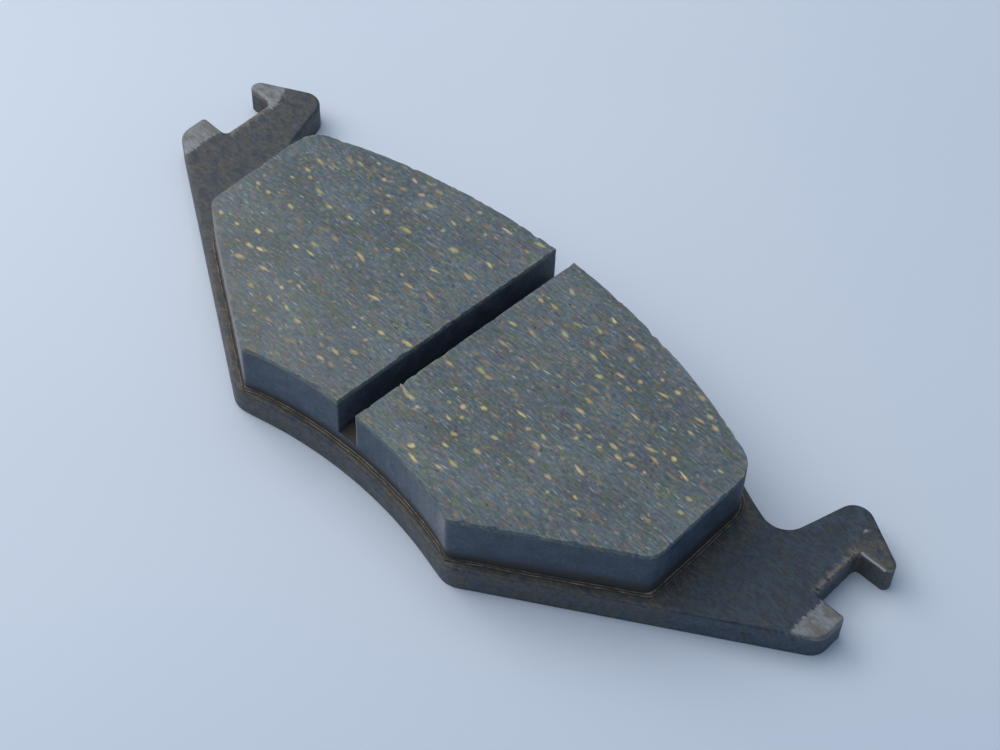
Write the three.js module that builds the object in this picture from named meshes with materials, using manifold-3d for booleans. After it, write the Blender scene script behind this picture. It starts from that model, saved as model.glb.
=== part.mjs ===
// A disc-brake pad: a stamped steel backing plate with a notched ear at each end, a bond coat,
// a moulded underlayer keyed through the plate, and two blocks of friction material parted by a slot.
// Millimetres. X runs along the pad, +Y points radially outward and +Z points at the brake disc.
// The origin is on the plate's back face, at the middle of the pad's outline.
import * as THREE from "three";
import { mergeVertices } from "three/addons/utils/BufferGeometryUtils.js";
import Module from "manifold-3d";

// Heights of the layers, from the back face up
const PLATE_THICKNESS = 5.0;
const FILM_THICKNESS = 0.3;
const UNDERLAYER_THICKNESS = 2.0;
const PAD_THICKNESS = 15.0;

// Backing plate
const HALF_LENGTH = 68.55;
const ROOT_HALF_LENGTH = 63.1;
const NOTCH_LOW_Y = 8.5;
const NOTCH_HIGH_Y = 18.5;
const NOTCH_RADIUS = 0.9;
const ARM_LIPS = { lower: 0.7, upper: 1.0 };
const PLATE_INNER_Y = -22.3;
const PLATE_OUTER_Y = 24.3;
const PLATE_HEEL = { x: 22.7, y: -25.6, radius: 4.2 };
const LOWER_ARM = { y: 3.3, radius: 3.2 };
const UPPER_ARM = { y: 20.6, radius: 1.6 };
const EAR_CREST = { x: 57.5, y: 26.65, radius: 3.0 };
const EAR_COVE = { x: 53.2, y: 12.0, radius: 4.0 };

// Friction material
const BLOCK_HALF_LENGTH = 46.5;
const BLOCK_INNER_Y = -21.0;
const BLOCK_OUTER_Y = 22.75;
const BLOCK_HEEL = { x: 21.4, y: -24.5, radius: 0.8 };
const BLOCK_SHOULDER = { y: -8.4, radius: 1.6 };
const BLOCK_CORNER = { y: 13.5, radius: 5.0 };
const SLOT_WIDTH = 3.7;
const SLOT_ANGLE = THREE.MathUtils.degToRad(-3.5);
const SLOT_MIDDLE_X = -1.05;
const FILM_MARGIN = 0.7;

// Curves shared by the plate and the blocks
const INNER_ARC_RADIUS = 75;
const OUTER_ARC_RADIUS = 115;
const PLATE_ARC_END = 19;
const BLOCK_INNER_END = 19.5;
const BLOCK_OUTER_END = 42.4;
const ARC_STEP = THREE.MathUtils.degToRad(10);
const LONG_ARC_STEPS = 36;

// Moulding keys
const KEY_RADIUS = 4.5;
const KEY_CLEARANCE = 0.1;
const KEY_CENTRES = [[-31, 5], [-13, -9], [13, -9], [31, 5]];

const wasm = await Module();
wasm.setup();

// A corner of an outline: its sharp point and the radius that rounds it.
const corner = (x, y, radius = 0) => ({ point: new THREE.Vector2(x, y), radius });

// The points of a closed outline, each corner rounded by a tangent arc.
function rounded(corners) {
  const points = [];
  corners.forEach(({ point, radius }, i) => {
    if (radius === 0) {
      points.push(point);
      return;
    }
    const before = corners.at(i - 1).point.clone().sub(point).normalize();
    const after = corners[(i + 1) % corners.length].point.clone().sub(point).normalize();
    const half = Math.acos(before.dot(after)) / 2;
    const middle = before.clone().add(after).normalize();
    const centre = middle.multiplyScalar(radius / Math.sin(half)).add(point);
    const start = before.clone().multiplyScalar(radius / Math.tan(half)).add(point).sub(centre);
    const turn = (Math.PI - 2 * half) * Math.sign(after.cross(before));
    const steps = Math.max(2, Math.ceil(Math.abs(turn) / ARC_STEP));
    for (let k = 0; k <= steps; k++) {
      points.push(start.clone().rotateAround(new THREE.Vector2(), (turn * k) / steps).add(centre));
    }
  });
  return points;
}

// Corners along a shallow arc from x0 to x1 whose crest is at (0, crestY).
function shallowArc(x0, x1, crestY, radius) {
  return Array.from({ length: LONG_ARC_STEPS + 1 }, (_, k) => {
    const x = x0 + ((x1 - x0) * k) / LONG_ARC_STEPS;
    return corner(x, crestY - radius + Math.sqrt(radius ** 2 - x ** 2));
  });
}

// A flat slab between two heights, with round holes.
function slab(points, bottom, top, holes = []) {
  const shape = new THREE.Shape(points);
  for (const [x, y, radius] of holes) {
    shape.holes.push(new THREE.Path().absarc(x, y, radius, 0, 2 * Math.PI));
  }
  const settings = { depth: top - bottom, bevelEnabled: false, curveSegments: 24 };
  return new THREE.ExtrudeGeometry(shape, settings).translate(0, 0, bottom);
}

// A three.js geometry as a manifold-3d solid.
function solid(geometry) {
  const bare = geometry.clone().deleteAttribute("normal").deleteAttribute("uv");
  const merged = mergeVertices(bare);
  return new wasm.Manifold(
    new wasm.Mesh({
      numProp: 3,
      vertProperties: merged.attributes.position.array,
      triVerts: new Uint32Array(merged.index.array),
    }),
  );
}

// A manifold-3d solid as a three.js geometry with flat shading.
function geometryOf(made) {
  const mesh = made.getMesh();
  const geometry = new THREE.BufferGeometry();
  geometry.setAttribute("position", new THREE.BufferAttribute(mesh.vertProperties, 3));
  geometry.setIndex(new THREE.BufferAttribute(mesh.triVerts, 1));
  const flat = geometry.toNonIndexed();
  flat.computeVertexNormals();
  return flat;
}

// The same corners on the other end of the pad, in the order that closes the outline.
const mirrored = (corners) => corners.map(({ point, radius }) => corner(-point.x, point.y, radius)).reverse();

function plateOutline() {
  const ear = [
    corner(PLATE_HEEL.x, PLATE_HEEL.y, PLATE_HEEL.radius),
    corner(HALF_LENGTH, LOWER_ARM.y, LOWER_ARM.radius),
    corner(HALF_LENGTH, NOTCH_LOW_Y, ARM_LIPS.lower),
    corner(ROOT_HALF_LENGTH, NOTCH_LOW_Y, NOTCH_RADIUS),
    corner(ROOT_HALF_LENGTH, NOTCH_HIGH_Y, NOTCH_RADIUS),
    corner(HALF_LENGTH, NOTCH_HIGH_Y, ARM_LIPS.upper),
    corner(HALF_LENGTH, UPPER_ARM.y, UPPER_ARM.radius),
    corner(EAR_CREST.x, EAR_CREST.y, EAR_CREST.radius),
    corner(EAR_COVE.x, EAR_COVE.y, EAR_COVE.radius),
  ];
  return rounded([
    ...shallowArc(-PLATE_ARC_END, PLATE_ARC_END, PLATE_INNER_Y, INNER_ARC_RADIUS),
    ...ear,
    ...shallowArc(BLOCK_HALF_LENGTH, -BLOCK_HALF_LENGTH, PLATE_OUTER_Y, OUTER_ARC_RADIUS),
    ...mirrored(ear),
  ]);
}

// The outline of the moulding, grown by a margin on every side.
function blockOutline(margin = 0) {
  const endX = BLOCK_HALF_LENGTH + margin;
  const end = [
    corner(BLOCK_HEEL.x, BLOCK_HEEL.y - margin, BLOCK_HEEL.radius),
    corner(endX, BLOCK_SHOULDER.y - margin / 2, BLOCK_SHOULDER.radius),
    corner(endX, BLOCK_CORNER.y, BLOCK_CORNER.radius),
  ];
  return rounded([
    ...shallowArc(-BLOCK_INNER_END, BLOCK_INNER_END, BLOCK_INNER_Y - margin, INNER_ARC_RADIUS),
    ...end,
    ...shallowArc(BLOCK_OUTER_END, -BLOCK_OUTER_END, BLOCK_OUTER_Y + margin, OUTER_ARC_RADIUS),
    ...mirrored(end),
  ]);
}

function backingPlate() {
  const holes = KEY_CENTRES.map(([x, y]) => [x, y, KEY_RADIUS]);
  return slab(plateOutline(), 0, PLATE_THICKNESS, holes);
}

function adhesiveFilm() {
  const holes = KEY_CENTRES.map(([x, y]) => [x, y, KEY_RADIUS]);
  return slab(blockOutline(FILM_MARGIN), PLATE_THICKNESS, PLATE_THICKNESS + FILM_THICKNESS, holes);
}

// The brown compound under the friction material, with its keys through the plate.
function underlayer() {
  const bottom = PLATE_THICKNESS + FILM_THICKNESS;
  let made = solid(slab(blockOutline(), bottom, bottom + UNDERLAYER_THICKNESS));
  for (const [x, y] of KEY_CENTRES) {
    const key = new THREE.CylinderGeometry(
      KEY_RADIUS - KEY_CLEARANCE,
      KEY_RADIUS - KEY_CLEARANCE,
      bottom + UNDERLAYER_THICKNESS / 2,
      32,
    );
    key.rotateX(Math.PI / 2).translate(x, y, (bottom + UNDERLAYER_THICKNESS / 2) / 2);
    made = made.add(solid(key));
  }
  return geometryOf(made);
}

// The friction material on one side of the slot. side is -1 for left and 1 for right.
function frictionBlock(side) {
  const bottom = PLATE_THICKNESS + FILM_THICKNESS + UNDERLAYER_THICKNESS;
  const whole = solid(slab(blockOutline(), bottom, PAD_THICKNESS));
  const reach = 2 * BLOCK_HALF_LENGTH;
  const cutter = new THREE.BoxGeometry(reach, reach, 2 * PAD_THICKNESS);
  cutter.translate((-side * (reach - SLOT_WIDTH)) / 2, 0, PAD_THICKNESS);
  cutter.rotateZ(SLOT_ANGLE).translate(SLOT_MIDDLE_X, 0, 0);
  return geometryOf(whole.subtract(solid(cutter)));
}

function part(name, geometry, colour, roughness, metalness = 0) {
  const material = new THREE.MeshStandardMaterial({ color: colour, roughness, metalness });
  const mesh = new THREE.Mesh(geometry, material);
  mesh.name = name;
  return mesh;
}

const pad = new THREE.Group();
pad.add(
  part("backing_plate", backingPlate(), 0x35363a, 0.6, 0.5),
  part("adhesive_film", adhesiveFilm(), 0x6b5e50, 0.8),
  part("underlayer", underlayer(), 0x4a4038, 0.9),
  part("friction_block_left", frictionBlock(-1), 0x5b6468, 0.9),
  part("friction_block_right", frictionBlock(1), 0x5b6468, 0.9),
);

export default pad;
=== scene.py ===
"""Looks for a disc brake pad: a coated steel plate, its bond coat, underlayer and friction blocks."""

import logging
import math
import random
from dataclasses import dataclass, field
from enum import Enum
from typing import Callable, ClassVar, Sequence

import bmesh
import bpy
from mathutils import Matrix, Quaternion, Vector, noise
from mathutils.geometry import delaunay_2d_cdt


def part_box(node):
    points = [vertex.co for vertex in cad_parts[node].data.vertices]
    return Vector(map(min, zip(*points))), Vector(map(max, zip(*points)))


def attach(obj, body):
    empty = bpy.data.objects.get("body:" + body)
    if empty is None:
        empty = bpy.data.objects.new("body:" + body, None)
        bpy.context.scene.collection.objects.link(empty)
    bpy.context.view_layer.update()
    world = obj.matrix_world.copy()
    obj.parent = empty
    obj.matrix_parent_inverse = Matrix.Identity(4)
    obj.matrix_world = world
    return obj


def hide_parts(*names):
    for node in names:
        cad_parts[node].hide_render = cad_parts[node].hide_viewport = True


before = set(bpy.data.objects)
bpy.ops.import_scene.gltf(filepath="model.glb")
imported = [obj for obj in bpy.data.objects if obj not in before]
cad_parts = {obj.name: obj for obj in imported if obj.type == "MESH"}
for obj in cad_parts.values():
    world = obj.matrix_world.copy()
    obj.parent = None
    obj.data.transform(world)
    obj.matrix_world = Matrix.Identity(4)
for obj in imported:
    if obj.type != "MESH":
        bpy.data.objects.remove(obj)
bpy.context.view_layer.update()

LOG = logging.getLogger("brake_pad")
MM = 0.001
SLOT_REACH = 8 * MM
SLOT_FADE = 4 * MM
CORNER_REACH = 1.2 * MM
ROW_RISE = 0.87
OUTSIDE = -9.0

Loop = list[Vector]
Relief = Callable[[Vector], float]

MIX = {"data_type": "RGBA"}
SMOOTH = {"interpolation_type": "SMOOTHSTEP"}
TIMES = {"operation": "MULTIPLY"}
TIMES_PLUS = {"operation": "MULTIPLY_ADD"}


# ---------------------------------------------------------------------------------------------
# Finishes
# ---------------------------------------------------------------------------------------------


def linear(hex_colour: str) -> tuple[float, float, float, float]:
    """Turn an sRGB hex colour to linear light.

    Args:
        hex_colour: Six hex digits, such as "5d6870".

    Returns:
        Red, green, blue and an alpha of 1.
    """
    channels = [int(hex_colour[i : i + 2], 16) / 255 for i in (0, 2, 4)]
    red, green, blue = (c / 12.92 if c <= 0.04045 else ((c + 0.055) / 1.055) ** 2.4 for c in channels)
    return red, green, blue, 1.0


def add(
    tree: bpy.types.NodeTree,
    kind: str,
    inputs: dict[str | int, object] | None = None,
    stops: Sequence[tuple[float, str]] = (),
    **settings: object,
) -> bpy.types.Node:
    """Add a node with its settings, values and links.

    Args:
        tree: The tree that gets the node.
        kind: The node's type name.
        inputs: For each input, by name or index, what it gets: a socket, a node whose first output
            in use is linked, a value, or a hex colour.
        stops: Places and hex colours of a colour ramp.
        settings: The node's own properties.

    Returns:
        The new node.
    """
    made = tree.nodes.new(kind)
    for name, value in settings.items():
        setattr(made, name, value)
    for key, value in (inputs or {}).items():
        socket = made.inputs[key]
        if isinstance(value, bpy.types.Node):
            value = next(output for output in value.outputs if output.enabled)
        if isinstance(value, bpy.types.NodeSocket):
            tree.links.new(value, socket)
        elif isinstance(value, str) and socket.type == "RGBA":
            socket.default_value = linear(value)
        else:
            socket.default_value = value
    if stops:
        elements = made.color_ramp.elements
        while len(elements) < len(stops):
            elements.new(0.5)
        for element, (place, colour) in zip(elements, stops):
            element.position = place
            element.color = linear(colour)
    return made


@dataclass(frozen=True)
class Grain:
    """The real size of a noise pattern's marks: across the pad and, if it differs, along it."""

    width: float
    length: float = 0.0
    detail: float = 3.0
    rough: float = 0.55

    def stretch(self) -> tuple[float, float, float]:
        """The factors that draw the marks out along the pad."""
        return (self.width / self.length if self.length else 1.0, 1.0, 1.0)

    def noise(self) -> dict[str, float]:
        """The noise's own values."""
        return {"Scale": 0.5 / self.width, "Detail": self.detail, "Roughness": self.rough}


@dataclass(frozen=True)
class Finish:
    """What every surface finish has: a name, its patterns' sizes and a way to build its nodes."""

    GRAINS: ClassVar[dict[str, Grain]] = {}
    name: str

    def shade(self, tree: bpy.types.NodeTree, place: bpy.types.NodeSocket) -> bpy.types.Node:
        """Build the surface shader.

        Args:
            tree: The material's node tree.
            place: Object coordinates, in metres.

        Returns:
            The shader node that goes to the surface.
        """
        raise NotImplementedError

    def patterns(self, tree: bpy.types.NodeTree, place: bpy.types.NodeSocket) -> dict[str, bpy.types.Node]:
        """Add this finish's noise patterns.

        Args:
            tree: The material's node tree.
            place: Object coordinates, in metres.

        Returns:
            The noise node of each pattern, by name.
        """
        made = {}
        for label, grain in self.GRAINS.items():
            turned = add(tree, "ShaderNodeMapping", {"Vector": place, "Scale": grain.stretch()})
            made[label] = add(tree, "ShaderNodeTexNoise", {"Vector": turned, **grain.noise()})
        return made

    def material(self) -> bpy.types.Material:
        """Make this finish's material, once.

        Returns:
            The material, from an earlier call if there was one.
        """
        made = bpy.data.materials.get(self.name)
        if made is not None:
            return made
        made = bpy.data.materials.new(self.name)
        made.use_nodes = True
        tree = made.node_tree
        tree.nodes.clear()
        place = add(tree, "ShaderNodeTexCoord").outputs["Object"]
        add(tree, "ShaderNodeOutputMaterial", {"Surface": self.shade(tree, place)})
        return made


@dataclass(frozen=True)
class GroundFriction(Finish):
    """Friction compound ground flat: dull grey, streaked along the pad and full of small grains.

    The mesh carries "rim", which is 1 on the crumbled top edge and 0 on the ground face.
    """

    # The finest scratches and grains are under 0.1 mm wide, and are drawn coarser so that they show
    GRAINS = {
        "patches": Grain(0.55 * MM, 1.5 * MM, detail=5.0, rough=0.68),
        "streaks": Grain(0.15 * MM, 1.0 * MM, detail=4.0, rough=0.72),
        "crumb": Grain(0.3 * MM, rough=0.6),
        "broad": Grain(4 * MM, 7 * MM, detail=4.0),
    }
    name: str = "ground_friction_compound"
    slate: str = "425868"
    olive: str = "4e614f"
    umber: str = "675b4e"
    violet: str = "534f61"
    rubbed: str = "6f716c"
    painted_light: str = "87897f"
    golden: str = "7d7562"
    pale: str = "7e8a90"
    crumbled: str = "868d86"
    rarity: float = 0.93

    def scored_face(
        self, tree: bpy.types.NodeTree, place: bpy.types.NodeSocket
    ) -> tuple[bpy.types.Node, dict[str, bpy.types.Node]]:
        """Build the ground face's colour, which the chips' ragged edges run into as well.

        Args:
            tree: The material's node tree.
            place: Object coordinates, in metres.

        Returns:
            The colour's node and the patterns.
        """
        pattern = self.patterns(tree, place)
        hues = add(tree, "ShaderNodeSeparateColor", {0: pattern["patches"].outputs["Color"]}).outputs
        colour: bpy.types.Node | str = self.slate
        for hue, low, high, tint in (
            (hues[0], 0.46, 0.66, self.olive),
            (hues[1], 0.5, 0.66, self.umber),
            (hues[2], 0.52, 0.68, self.violet),
        ):
            share = add(tree, "ShaderNodeMapRange", {0: hue, 1: low, 2: high}, **SMOOTH)
            colour = add(tree, "ShaderNodeMix", {0: share, 6: colour, 7: tint}, **MIX)
        rubbed = add(tree, "ShaderNodeMix", {0: 0.55, 6: colour, 7: self.rubbed}, **MIX)
        scored = add(tree, "ShaderNodeMapRange", {0: pattern["streaks"], 1: 0.34, 2: 0.68}, **SMOOTH)
        colour = add(tree, "ShaderNodeMix", {0: scored, 6: colour, 7: rubbed}, **MIX)
        for name, low, high, dark, light in (
            ("streaks", 0.34, 0.68, 0.83, 1.24),
            ("crumb", 0.34, 0.68, 0.84, 1.2),
            ("broad", 0.3, 0.7, 0.82, 1.14),
        ):
            limits = {0: pattern[name], 1: low, 2: high, 3: dark, 4: light}
            tone = add(tree, "ShaderNodeMapRange", limits, **SMOOTH)
            colour = add(tree, "ShaderNodeVectorMath", {0: colour, "Scale": tone}, operation="SCALE")
        # Painted light: the ground face is painted lighter towards its lower left, nearer the lamps
        spot = add(tree, "ShaderNodeSeparateXYZ", {0: place}).outputs
        along = add(tree, "ShaderNodeMath", {0: spot["X"], 1: 0.4, 2: spot["Y"]}, **TIMES_PLUS)
        limits = {0: along, 1: -32 * MM, 2: -6 * MM, 3: 0.2, 4: 0.0}
        painted_light = add(tree, "ShaderNodeMapRange", limits, **SMOOTH)
        colour = add(tree, "ShaderNodeMix", {0: painted_light, 6: colour, 7: self.painted_light}, **MIX)
        for size, tint in ((0.5 * MM, self.golden), (0.3 * MM, self.pale)):
            grains = self._grains(tree, place, size)
            colour = add(tree, "ShaderNodeMix", {0: grains, 6: colour, 7: tint}, **MIX)
        return colour, pattern

    def shade(self, tree: bpy.types.NodeTree, place: bpy.types.NodeSocket) -> bpy.types.Node:
        """Build the surface shader.

        Args:
            tree: The material's node tree.
            place: Object coordinates, in metres.

        Returns:
            The shader node that goes to the surface.
        """
        colour, pattern = self.scored_face(tree, place)
        rim = add(tree, "ShaderNodeAttribute", attribute_name="rim").outputs["Fac"]
        limits = {0: pattern["patches"], 1: 0.46, 2: 0.66, 3: 0.0, 4: 0.8}
        patchy = add(tree, "ShaderNodeMapRange", limits, **SMOOTH)
        chipped = add(tree, "ShaderNodeMath", {0: rim, 1: patchy}, **TIMES)
        colour = add(tree, "ShaderNodeMix", {0: chipped, 6: colour, 7: self.crumbled}, **MIX)
        limits = {0: pattern["patches"], 1: 0.3, 2: 0.7, 3: 0.62, 4: 0.82}
        dull = add(tree, "ShaderNodeMapRange", limits, **SMOOTH)
        relief = {"Height": pattern["streaks"], "Strength": 0.5, "Distance": 0.06 * MM}
        bump = add(tree, "ShaderNodeBump", relief)
        surface = {"Base Color": colour, "Roughness": dull, "Normal": bump}
        return add(tree, "ShaderNodeBsdfPrincipled", surface)

    def _grains(
        self, tree: bpy.types.NodeTree, place: bpy.types.NodeSocket, size: float
    ) -> bpy.types.Node:
        """Pick a few grains of one kind out of closely packed ones.

        Args:
            tree: The material's node tree.
            place: Object coordinates, in metres.
            size: The grains' pitch, in metres.

        Returns:
            A node that gives up to 0.8 in a picked grain, and 0 elsewhere.
        """
        turn = {"Vector": place, "Scale": (0.3, 1.0, 1.0), "Location": (size * 40, size * 70, 0.0)}
        turned = add(tree, "ShaderNodeMapping", turn)
        cells = add(tree, "ShaderNodeTexVoronoi", {"Vector": turned, "Scale": 1 / size}).outputs
        picked = add(tree, "ShaderNodeSeparateColor", {0: cells["Color"]}).outputs[0]
        limits = {0: picked, 1: self.rarity, 2: self.rarity + 0.04}
        chosen = add(tree, "ShaderNodeMapRange", limits, **SMOOTH)
        limits = {0: cells["Distance"], 1: 0.15, 2: 0.55, 3: 0.8, 4: 0.0}
        middle = add(tree, "ShaderNodeMapRange", limits, **SMOOTH)
        return add(tree, "ShaderNodeMath", {0: chosen, 1: middle}, **TIMES)


@dataclass(frozen=True)
class MouldedFriction(Finish):
    """The compound as the hot mould left it: a dark, smooth slate skin, stained brown at its foot, with
    painted light on the walls that face the lamps and painted shade on those that face away.
    """

    GRAINS = {
        "cloud": Grain(1.3 * MM, detail=6.0, rough=0.6),
        "brushed": Grain(2.5 * MM, detail=4.0),
        "speckle": Grain(0.24 * MM),
    }
    name: str = "moulded_friction_skin"
    skin: str = "394656"
    pale: str = "4e5c6a"
    foot: str = "393736"
    dust_and_light: str = "7e7f82"
    painted_shade: str = "22303f"
    stain_low: float = 4.0 * MM
    stain_high: float = 5.8 * MM
    raggedness: float = 3.2 * MM

    def shade(self, tree: bpy.types.NodeTree, place: bpy.types.NodeSocket) -> bpy.types.Node:
        """Build the surface shader.

        Args:
            tree: The material's node tree.
            place: Object coordinates, in metres.

        Returns:
            The shader node that goes to the surface.
        """
        pattern = self.patterns(tree, place)
        facing = add(tree, "ShaderNodeTexCoord").outputs["Normal"]
        across = add(tree, "ShaderNodeSeparateXYZ", {0: facing}).outputs["X"]
        spot = add(tree, "ShaderNodeSeparateXYZ", {0: place}).outputs
        clouded = add(tree, "ShaderNodeMapRange", {0: pattern["cloud"], 1: 0.35, 2: 0.68}, **SMOOTH)
        colour = add(tree, "ShaderNodeMix", {0: clouded, 6: self.skin, 7: self.pale}, **MIX)
        # Painted light and dust: the walls that face the pad's left end, towards the lamps, are painted a
        # paler grey
        painted_light_side = add(tree, "ShaderNodeMapRange", {0: across, 1: -0.5, 2: 0.0, 3: 1.0, 4: 0.0}, **SMOOTH)
        limits = {0: pattern["brushed"], 1: 0.3, 2: 0.6, 3: 0.6, 4: 1.0}
        brushed = add(tree, "ShaderNodeMapRange", limits, **SMOOTH)
        caked_and_lit = add(tree, "ShaderNodeMath", {0: painted_light_side, 1: brushed}, **TIMES)
        colour = add(tree, "ShaderNodeMix", {0: caked_and_lit, 6: colour, 7: self.dust_and_light}, **MIX)
        limits = {0: pattern["speckle"], 1: 0.3, 2: 0.7, 3: 0.78, 4: 1.22}
        tone = add(tree, "ShaderNodeMapRange", limits, **SMOOTH)
        colour = add(tree, "ShaderNodeVectorMath", {0: colour, "Scale": tone}, operation="SCALE")
        # Painted shade: the walls that face away from the lamps, towards the pad's right end, are painted
        # darker
        facing_away_shade = add(tree, "ShaderNodeMapRange", {0: across, 1: 0.1, 2: 0.5, 3: 0.0, 4: 0.22}, **SMOOTH)
        colour = add(tree, "ShaderNodeMix", {0: facing_away_shade, 6: colour, 7: self.painted_shade}, **MIX)
        # The stain's ragged edge rises towards the pad's right end
        limits = {0: spot["X"], 1: 12 * MM, 2: 44 * MM, 3: 0.0, 4: 1.2 * MM}
        rise = add(tree, "ShaderNodeMapRange", limits, **SMOOTH)
        wavy = {0: pattern["cloud"], 1: -self.raggedness, 2: spot["Z"]}
        ragged = add(tree, "ShaderNodeMath", wavy, **TIMES_PLUS)
        above = add(tree, "ShaderNodeMath", {0: ragged, 1: rise}, operation="SUBTRACT")
        limits = {0: above, 1: self.stain_low, 2: self.stain_high, 3: 1.0, 4: 0.0}
        stained = add(tree, "ShaderNodeMapRange", limits, **SMOOTH)
        colour = add(tree, "ShaderNodeMix", {0: stained, 6: colour, 7: self.foot}, **MIX)
        limits = {0: pattern["cloud"], 1: 0.3, 2: 0.7, 3: 0.5, 4: 0.66}
        dull = add(tree, "ShaderNodeMapRange", limits, **SMOOTH)
        relief = {"Height": pattern["speckle"], "Strength": 0.4, "Distance": 0.08 * MM}
        bump = add(tree, "ShaderNodeBump", relief)
        surface = {"Base Color": colour, "Roughness": dull, "Normal": bump}
        return add(tree, "ShaderNodeBsdfPrincipled", surface)


@dataclass(frozen=True)
class UnderlayerCompound(Finish):
    """Coarser moulded compound without metal chips: dull dark brown, slightly open."""

    GRAINS = {"open": Grain(0.4 * MM, 0.7 * MM, detail=5.0, rough=0.65)}
    name: str = "underlayer_compound"
    dark: str = "2c2927"
    brown: str = "5d5248"

    def shade(self, tree: bpy.types.NodeTree, place: bpy.types.NodeSocket) -> bpy.types.Node:
        """Build the surface shader.

        Args:
            tree: The material's node tree.
            place: Object coordinates, in metres.

        Returns:
            The shader node that goes to the surface.
        """
        grain = self.patterns(tree, place)["open"]
        share = add(tree, "ShaderNodeMapRange", {0: grain, 1: 0.38, 2: 0.66}, **SMOOTH)
        colour = add(tree, "ShaderNodeMix", {0: share, 6: self.dark, 7: self.brown}, **MIX)
        bump = add(tree, "ShaderNodeBump", {"Height": grain, "Strength": 0.6, "Distance": 0.15 * MM})
        surface = {"Base Color": colour, "Roughness": 0.82, "Normal": bump}
        return add(tree, "ShaderNodeBsdfPrincipled", surface)


@dataclass(frozen=True)
class BondResin(Finish):
    """Cured phenolic bond coat squeezed out in the press: thin, dull brown, with dust and a painted
    highlight on its crest.
    """

    GRAINS = {
        "patchy": Grain(0.9 * MM, 1.5 * MM, detail=5.0, rough=0.65),
        "fine": Grain(0.2 * MM),
    }
    name: str = "phenolic_bond_coat"
    dark: str = "302e2b"
    dust_and_light: str = "85796e"
    crest_low: float = 5.12 * MM
    crest_high: float = 5.3 * MM

    def shade(self, tree: bpy.types.NodeTree, place: bpy.types.NodeSocket) -> bpy.types.Node:
        """Build the surface shader.

        Args:
            tree: The material's node tree.
            place: Object coordinates, in metres.

        Returns:
            The shader node that goes to the surface.
        """
        pattern = self.patterns(tree, place)
        height = add(tree, "ShaderNodeSeparateXYZ", {0: place}).outputs["Z"]
        # Painted highlight and dust: the bead's crest is painted paler than its slopes
        crest = add(tree, "ShaderNodeMapRange", {0: height, 1: self.crest_low, 2: self.crest_high}, **SMOOTH)
        limits = {0: pattern["patchy"], 1: 0.36, 2: 0.6, 3: 0.25, 4: 1.0}
        uneven_tone = add(tree, "ShaderNodeMapRange", limits, **SMOOTH)
        share = add(tree, "ShaderNodeMath", {0: crest, 1: uneven_tone}, **TIMES)
        colour = add(tree, "ShaderNodeMix", {0: share, 6: self.dark, 7: self.dust_and_light}, **MIX)
        limits = {0: pattern["fine"], 1: 0.3, 2: 0.7, 3: 0.7, 4: 1.3}
        tone = add(tree, "ShaderNodeMapRange", limits, **SMOOTH)
        colour = add(tree, "ShaderNodeVectorMath", {0: colour, "Scale": tone}, operation="SCALE")
        relief = {"Height": pattern["fine"], "Strength": 0.6, "Distance": 0.1 * MM}
        bump = add(tree, "ShaderNodeBump", relief)
        surface = {"Base Color": colour, "Roughness": 0.7, "Normal": bump}
        return add(tree, "ShaderNodeBsdfPrincipled", surface)


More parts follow.
